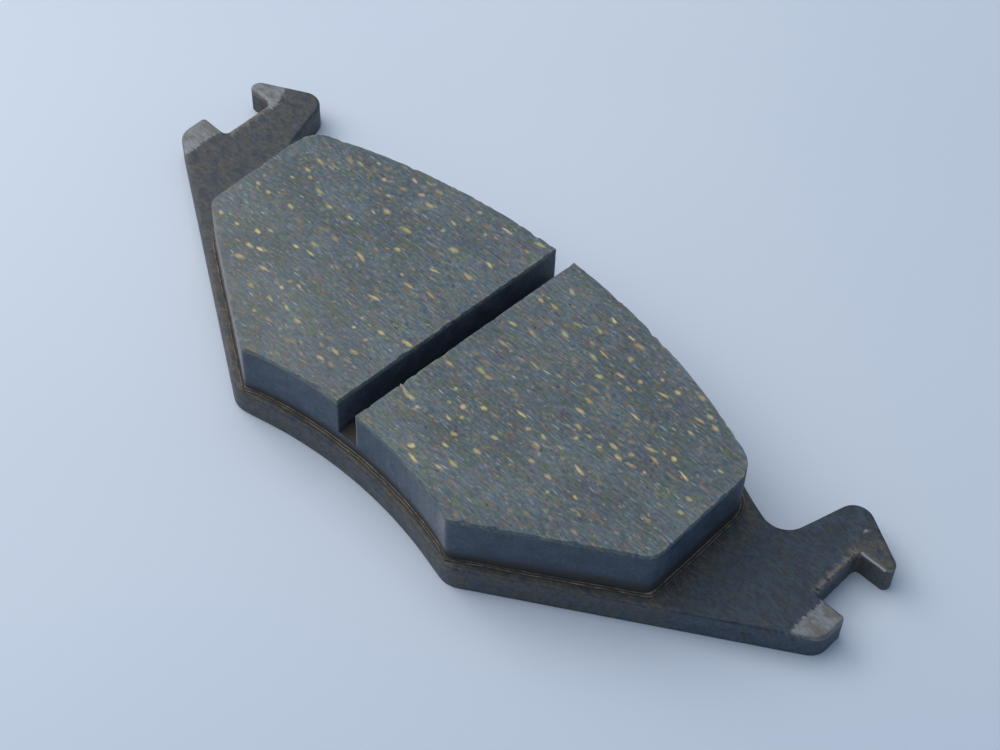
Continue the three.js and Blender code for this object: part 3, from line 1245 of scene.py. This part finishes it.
@dataclass
class Underlayer:
    """The brown layer under the friction material, with its keys through the plate's holes."""

    pitch: float = 0.34 * MM
    key_recess: float = 0.18 * MM
    key_growth: float = 0.09 * MM

    def build(self) -> bpy.types.Object:
        """Make the layer's mesh and dress it.

        Returns:
            The finished piece.
        """
        film_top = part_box("adhesive_film")[1].z
        low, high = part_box("underlayer")
        outline = softened(resample(cad_loops("underlayer", high.z)[0], self.pitch), self.pitch)
        into = inward(outline)
        levels = [film_top + (high.z - film_top) * k / 4 for k in range(5)]
        rings = [
            [Vector((p.x, p.y, z)) + d * skin_wave(Vector((p.x, p.y, z))) for p, d in zip(outline, into)]
            for z in levels
        ]
        shell = Shell()
        stack = shell.wall(rings, slot=1)
        keys = [self._key(shell, loop, low.z, film_top) for loop in cad_loops("underlayer", low.z)]
        shell.cap([stack[-1]], 0.8 * MM, True, self._relief)
        shell.cap([stack[0], *keys], 4 * MM, False)
        finishes = [UnderlayerCompound(), MouldedFriction()]
        return settle(shell.piece("moulded_underlayer", finishes), Slot.UNDERLAYER, "underlayer")

    def _key(self, shell: Shell, end: Loop, low: float, high: float) -> list[bmesh.types.BMVert]:
        """Build one key down to its sunken end face.

        Args:
            shell: The mesh to build in.
            end: The outline of the key's end, anticlockwise.
            low: The height of the plate's back face.
            high: The height where the key joins the layer.

        Returns:
            The ring that joins the layer, clockwise, as a hole's is.
        """
        into = inward(end)
        profile = ((0.5 * MM, low + self.key_recess), (0.0, low + 0.5 * self.key_recess), (0.0, high))
        rings = [
            [Vector((p.x, p.y, z)) + d * (inset - self.key_growth) for p, d in zip(end, into)]
            for inset, z in profile
        ]
        stack = shell.wall(rings)
        shell.cap([stack[0]], 0.6 * MM, False, lambda p: 0.06 * MM * rumple(p, 1.5 * MM))
        return stack[-1][::-1]

    @staticmethod
    def _relief(point: Vector) -> float:
        """The uneven floor that shows at the bottom of the slot."""
        return 0.08 * MM * rumple(point, 1.4 * MM) - 0.05 * MM


@dataclass
class FrictionBlock:
    """One block of friction material: a ground face with pits, ragged edges and a moulded skin."""

    side: str
    seed: int
    pitch: float = 0.34 * MM
    skirt: float = 0.9 * MM
    pit_count: int = 26
    chip_depth: float = 0.5 * MM
    dents: list[Dent] = field(default_factory=list)

    def build(self) -> bpy.types.Object:
        """Make the block's mesh and dress it.

        Returns:
            The finished piece.
        """
        node_name = f"friction_block_{self.side}"
        low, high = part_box(node_name)
        outline = softened(resample(cad_loops(node_name, high.z)[0], self.pitch), self.pitch)
        self.dents = self._pits(outline, low, high)
        shell = Shell("rim")
        skin, ragged = self._rings(outline, low.z, high.z)
        stack = shell.wall(skin, slot=1)
        rim = shell.wall(ragged, slot=0)
        shell.stitch(stack[-1], rim[0], slot=0)
        shell.cap([rim[-1]], 0.42 * MM, True, self._relief, self.dents)
        shell.cap([stack[0]], 4 * MM, False, slot=1)
        for ring in rim:
            shell.mark("rim", ring, 1.0)
        shell.floats("inner", self._inner([v.co.copy() for v in rim[-1]], high.z))
        finishes = [GroundFriction(), MouldedFriction()]
        return settle(shell.piece(f"friction_{self.side}", finishes), Slot.FRICTION, node_name)

    def _chip(self, point: Vector) -> float:
        """How far the top edge has crumbled away at a point, in metres.

        Args:
            point: A point of the outline.

        Returns:
            The crumbled edge's width.
        """
        big = max(0.0, rumple(point, 1.6 * MM, self.seed) - 0.15)
        small = max(0.0, rumple(point, 0.8 * MM, self.seed + 4) - 0.1)
        return 0.07 * MM + self.chip_depth * (1.1 * big + 0.4 * small)

    def _rings(self, outline: Loop, low: float, high: float) -> tuple[list[Loop], list[Loop]]:
        """Rings up the moulded skin, and then over the crumbled top edge.

        Args:
            outline: The block's outline.
            low: The height of the block's foot.
            high: The height of the ground face.

        Returns:
            The skin's rings and the crumbled edge's rings, bottom first.
        """
        into = inward(outline)
        wall_top = high - self.skirt
        skin = []
        for k in range(9):
            level = low + (wall_top - low) * k / 8
            ring = []
            for point, direction in zip(outline, into):
                place = Vector((point.x, point.y, level))
                ring.append(place + direction * skin_wave(place))
            skin.append(ring)
        ragged: list[Loop] = [[] for _ in range(3)]
        for point, direction in zip(outline, eased(into, 3)):
            chip = min(0.5 * MM, self._chip(point))
            profile = ((0.12 * chip, high - 1.5 * chip), (0.6 * chip, high - 0.7 * chip), (chip, high))
            for ring, (inset, level) in zip(ragged, profile):
                ring.append(Vector((point.x, point.y, level)) + direction * (inset + 0.03 * MM))
        return skin, ragged

    def _pits(self, outline: Loop, low: Vector, high: Vector) -> list[Dent]:
        """Scatter small torn-out pits over the ground face, clear of its edges.

        Args:
            outline: The block's outline.
            low: The block's lowest corner.
            high: The block's highest corner.

        Returns:
            The pits.
        """
        chance = random.Random(self.seed)
        found: list[Dent] = []
        while len(found) < self.pit_count:
            x, y = chance.uniform(low.x, high.x), chance.uniform(low.y, high.y)
            clear = any(a + 2 * MM < x < b - 2 * MM for a, b in spans([outline], y))
            size = chance.uniform(0.45, 1.1) * MM
            if clear and all(math.hypot(x - d.x, y - d.y) > 2.5 * MM for d in found):
                depth = chance.uniform(0.08, 0.2) * MM
                found.append(Dent(x, y, size, size * chance.uniform(0.5, 0.9), depth))
        return found

    def _inner(self, rim: Loop, level: float) -> Callable[[Vector], float]:
        """Make a test for points on the ground face that are clear of its edge.

        Args:
            rim: The ground face's outline.
            level: The ground face's height.

        Returns:
            A function that gives 1 for a point well inside the face, or 0.
        """
        row = 0.5 * MM
        rows = {}

        def clear(point: Vector) -> float:
            """1 for a point well inside the ground face, or 0.

            Args:
                point: The point.

            Returns:
                1 or 0.
            """
            if point.z < level - 0.3 * MM:
                return 0.0
            for offset in (-0.6 * MM, 0.0, 0.6 * MM):
                key = round((point.y + offset) / row)
                if key not in rows:
                    rows[key] = spans([rim], key * row)
                if not any(a + 0.7 * MM < point.x < b - 0.7 * MM for a, b in rows[key]):
                    return 0.0
            return 1.0

        return clear

    @staticmethod
    def _relief(point: Vector) -> float:
        """The ground face's slight unevenness."""
        return 0.012 * MM * rumple(point, 1.2 * MM)


# ---------------------------------------------------------------------------------------------
# Chips and fibres in the ground faces
# ---------------------------------------------------------------------------------------------


@dataclass(frozen=True)
class Inclusion:
    """One kind of scrap in the compound: its finish, how common it is and how big."""

    name: str
    finish: Chip
    spacing: float
    density: float
    shortest: float
    longest: float
    narrowest: float
    widest: float
    turn: float
    seed: int
    thickness: float = 0.03 * MM
    raggedness: float = 0.24 * MM


BRASS = (
    (0.0, "75705f"), (0.25, "8d7d62"), (0.45, "b0976a"), (0.65, "c2b083"), (0.85, "a3a060"), (1.0, "d9c48c"),
)
DULL_BRASS = ((0.0, "86725e"), (0.5, "978a6b"), (1.0, "93946f"))
GLASS = ((0.0, "778690"), (0.8, "8e9da6"), (1.0, "b2bfc7"))
INCLUSIONS = (
    Inclusion(
        "brass_chips", Chip("brass_chip", BRASS),
        1.6 * MM, 0.11e6, 0.8 * MM, 2.8 * MM, 0.5 * MM, 1.1 * MM, 0.3, 3,
    ),
    Inclusion(
        "brass_grains", Chip("brass_grain", DULL_BRASS, strength=0.75),
        0.9 * MM, 0.22e6, 0.5 * MM, 1.3 * MM, 0.24 * MM, 0.5 * MM, 0.3, 5,
    ),
    Inclusion(
        "copper_chips", Chip("copper_chip", ((0.0, "765447"), (1.0, "906a53"))),
        2.6 * MM, 0.01e6, 0.6 * MM, 1.5 * MM, 0.35 * MM, 0.8 * MM, 0.5, 8,
    ),
    Inclusion(
        "pale_fibres", Chip("glass_fibre", GLASS, strength=0.8, metallic=0.0, roughness=0.45),
        1.2 * MM, 0.1e6, 0.7 * MM, 2.0 * MM, 0.14 * MM, 0.32 * MM, 0.2, 13,
        raggedness=0.06 * MM,
    ),
    Inclusion(
        "graphite_flakes",
        Chip("graphite_flake", ((0.0, "202428"), (1.0, "34393d")), metallic=0.0, roughness=0.5),
        2.0 * MM, 0.03e6, 0.4 * MM, 1.2 * MM, 0.25 * MM, 0.55 * MM, 0.4, 21,
    ),
)


class InclusionScatter:
    """A Geometry Nodes tree that scatters flat, irregular scraps over a block's ground face."""

    SIZES = (
        "Spacing", "Density", "Shortest", "Longest", "Narrowest", "Widest",
        "Thickness", "Turn", "Raggedness",
    )
    WIDTH_SEED, TURN_SEED, TONE_SEED = 7, 17, 29
    TEAR = 0.34 * MM

    def __init__(self) -> None:
        """Build the tree, with a named input for each size."""
        self.tree = bpy.data.node_groups.new("inclusion_scatter", "GeometryNodeTree")
        face = self.tree.interface
        kinds = {"Geometry": "Geometry"} | dict.fromkeys(self.SIZES, "Float")
        for name, kind in (kinds | {"Seed": "Int", "Material": "Material"}).items():
            face.new_socket(name, in_out="INPUT", socket_type=f"NodeSocket{kind}")
        face.new_socket("Geometry", in_out="OUTPUT", socket_type="NodeSocketGeometry")
        self.sockets = {s.name: s.identifier for s in face.items_tree if s.in_out == "INPUT"}
        self._fill()

    def _fill(self) -> None:
        """Add the tree's nodes: points on the face, a scrap on each, its outline and its material."""
        tree = self.tree
        given = add(tree, "NodeGroupInput").outputs
        inner = add(tree, "GeometryNodeInputNamedAttribute", {"Name": "inner"}, data_type="FLOAT")
        chosen = add(tree, "FunctionNodeCompare", {0: inner, 1: 0.99}, operation="GREATER_THAN")
        spread = {"Mesh": given["Geometry"], "Selection": chosen, "Seed": given["Seed"]}
        spread |= {"Distance Min": given["Spacing"], "Density Max": given["Density"]}
        points = add(tree, "GeometryNodeDistributePointsOnFaces", spread, distribute_method="POISSON")
        back = add(tree, "ShaderNodeMath", {0: given["Turn"], 1: -1.0}, **TIMES)
        drawn = []
        for low, high, seed in (
            (given["Shortest"], given["Longest"], given["Seed"]),
            (given["Narrowest"], given["Widest"], self.WIDTH_SEED),
            (back, given["Turn"], self.TURN_SEED),
            (0.0, 1.0, self.TONE_SEED),
        ):
            limits = {2: low, 3: high, "Seed": seed}
            drawn.append(add(tree, "FunctionNodeRandomValue", limits, data_type="FLOAT"))
        length, width, angle, tone = drawn
        size = add(tree, "ShaderNodeCombineXYZ", {0: length, 1: width, 2: given["Thickness"]})
        turn = add(tree, "ShaderNodeCombineXYZ", {2: angle})

        # One flat scrap, graded from its middle to its edge
        scrap = add(tree, "GeometryNodeMeshUVSphere", {"Segments": 10, "Rings": 4, "Radius": 0.5})
        spot = add(tree, "GeometryNodeInputPosition")
        across = add(tree, "ShaderNodeVectorMath", {0: spot, 1: (2.0, 2.0, 0.0)}, **TIMES)
        out = add(tree, "ShaderNodeVectorMath", {0: across}, operation="LENGTH").outputs["Value"]
        core = add(tree, "ShaderNodeMath", {0: 1.0, 1: out}, operation="SUBTRACT")
        grading = {"Geometry": scrap, "Name": "core", "Value": core}
        graded = add(tree, "GeometryNodeStoreNamedAttribute", grading, data_type="FLOAT", domain="POINT")
        laid = {"Points": points, "Instance": graded, "Rotation": turn, "Scale": size}
        scraps = add(tree, "GeometryNodeInstanceOnPoints", laid)
        toning = {"Geometry": scraps, "Name": "tone", "Value": tone}
        toned = add(tree, "GeometryNodeStoreNamedAttribute", toning, data_type="FLOAT", domain="INSTANCE")
        real = add(tree, "GeometryNodeRealizeInstances", {0: toned})

        # Its ragged outline, pushed about within the face
        place = add(tree, "GeometryNodeInputPosition")
        wobble = add(tree, "ShaderNodeTexNoise", {"Vector": place, "Scale": 0.5 / self.TEAR, "Detail": 2.0})
        middled = {0: wobble.outputs["Color"], 1: (-0.5, -0.5, -0.5)}
        centred = add(tree, "ShaderNodeVectorMath", middled, operation="ADD")
        flat = add(tree, "ShaderNodeVectorMath", {0: centred, 1: (2.0, 2.0, 0.0)}, **TIMES)
        push = add(tree, "ShaderNodeVectorMath", {0: flat, "Scale": given["Raggedness"]}, operation="SCALE")
        ragged = add(tree, "GeometryNodeSetPosition", {"Geometry": real, "Offset": push})
        painted = add(tree, "GeometryNodeSetMaterial", {"Geometry": ragged, "Material": given["Material"]})
        add(tree, "NodeGroupOutput", {0: painted})

    def scatter(self, block: bpy.types.Object, kind: Inclusion, side: str, seed: int) -> bpy.types.Object:
        """Scatter one kind of scrap over one block.

        Args:
            block: The friction block.
            kind: The scrap.
            side: Which block it is, for the piece's name.
            seed: A whole number that makes this block's pattern its own.

        Returns:
            The scraps, as one plain mesh.
        """
        name = f"{kind.name}_{side}"
        carrier = placed(name + "_carrier", block.data)
        modifier = carrier.modifiers.new("scatter", "NODES")
        modifier.node_group = self.tree
        for label in self.SIZES:
            modifier[self.sockets[label]] = getattr(kind, label.lower())
        modifier[self.sockets["Seed"]] = kind.seed + seed
        modifier[self.sockets["Material"]] = kind.finish.material()
        ready = carrier.evaluated_get(bpy.context.evaluated_depsgraph_get())
        data = bpy.data.meshes.new_from_object(ready)
        data.name = name
        bpy.data.objects.remove(carrier)
        return settle(placed(name, data), Slot.FRICTION)


# ---------------------------------------------------------------------------------------------
# The studio
# ---------------------------------------------------------------------------------------------


@dataclass(frozen=True)
class Lamp:
    """A square soft box that shines at a point."""

    name: str
    place: tuple[float, float, float]
    target: tuple[float, float, float]
    width: float
    watts: float
    colour: str

    def hang(self) -> None:
        """Put the lamp in the scene."""
        data = bpy.data.lights.new(self.name, "AREA")
        data.shape = "SQUARE"
        data.size = self.width
        data.energy = self.watts
        data.color = linear(self.colour)[:3]
        lamp = placed(self.name, data)
        lamp.location = self.place
        lamp.rotation_mode = "QUATERNION"
        lamp.rotation_quaternion = (Vector(self.target) - Vector(self.place)).to_track_quat("-Z", "Y")


@dataclass
class Studio:
    """A pale floor, soft daylight from the left, and the camera."""

    camera_place: tuple[float, float, float] = (135.7 * MM, -139.8 * MM, 263.8 * MM)
    camera_target: tuple[float, float, float] = (1.6 * MM, 7.5 * MM, 0.0)
    camera_roll: float = 2.18
    camera_lens: float = 76.4
    floor_width: float = 6.0
    floor_gap: float = 0.02 * MM
    sky: str = "b0c6e0"
    sky_strength: float = 0.5
    lamps: tuple[Lamp, ...] = (
        Lamp("window", (-0.6, -0.12, 0.36), (0.0, 0.0, 0.0), 0.6, 2.3, "fff8f0"),
        Lamp("ceiling_softbox", (-0.22, -0.04, 0.5), (-0.02, 0.02, 0.0), 0.7, 2.3, "fffaf4"),
    )

    def build(self) -> None:
        """Make the floor, lights and camera."""
        self._floor()
        self._sky()
        for lamp in self.lamps:
            lamp.hang()
        self._camera()
        bpy.context.scene.view_settings.view_transform = "Standard"

    def _floor(self) -> None:
        """Lay the floor under the pad."""
        mesh = bmesh.new()
        bmesh.ops.create_grid(mesh, x_segments=8, y_segments=8, size=self.floor_width / 2)
        bmesh.ops.translate(mesh, vec=(0, 0, -self.floor_gap), verts=mesh.verts)
        data = bpy.data.meshes.new("floor")
        mesh.to_mesh(data)
        mesh.free()
        data.materials.append(PaleFloor().material())
        placed("floor", data)

    def _sky(self) -> None:
        """Fill the room with even, pale light."""
        world = bpy.data.worlds.new("pale_room")
        world.use_nodes = True
        background = world.node_tree.nodes["Background"]
        background.inputs["Color"].default_value = linear(self.sky)
        background.inputs["Strength"].default_value = self.sky_strength
        bpy.context.scene.world = world

    def _camera(self) -> None:
        """Put the camera where the pad is seen from above its inner edge."""
        data = bpy.data.cameras.new("camera")
        data.lens = self.camera_lens
        data.sensor_width = 36.0
        camera = placed("camera", data)
        place, target = Vector(self.camera_place), Vector(self.camera_target)
        aim = (target - place).to_track_quat("-Z", "Y")
        roll = Quaternion((0, 0, 1), math.radians(self.camera_roll))
        camera.rotation_mode = "QUATERNION"
        camera.rotation_quaternion = aim @ roll
        camera.location = place
        bpy.context.scene.camera = camera


def main() -> None:
    """Build the pad's pieces and the studio round them."""
    logging.basicConfig(level=logging.INFO, format="%(name)s: %(message)s")
    Studio().build()
    BackingPlate().build()
    BondCoat().build()
    Underlayer().build()
    scatter = InclusionScatter()
    for side, seed in (("left", 31), ("right", 57)):
        block = FrictionBlock(side, seed).build()
        for kind in INCLUSIONS:
            scatter.scatter(block, kind, side, seed)


if __name__ == "__main__":
    main()
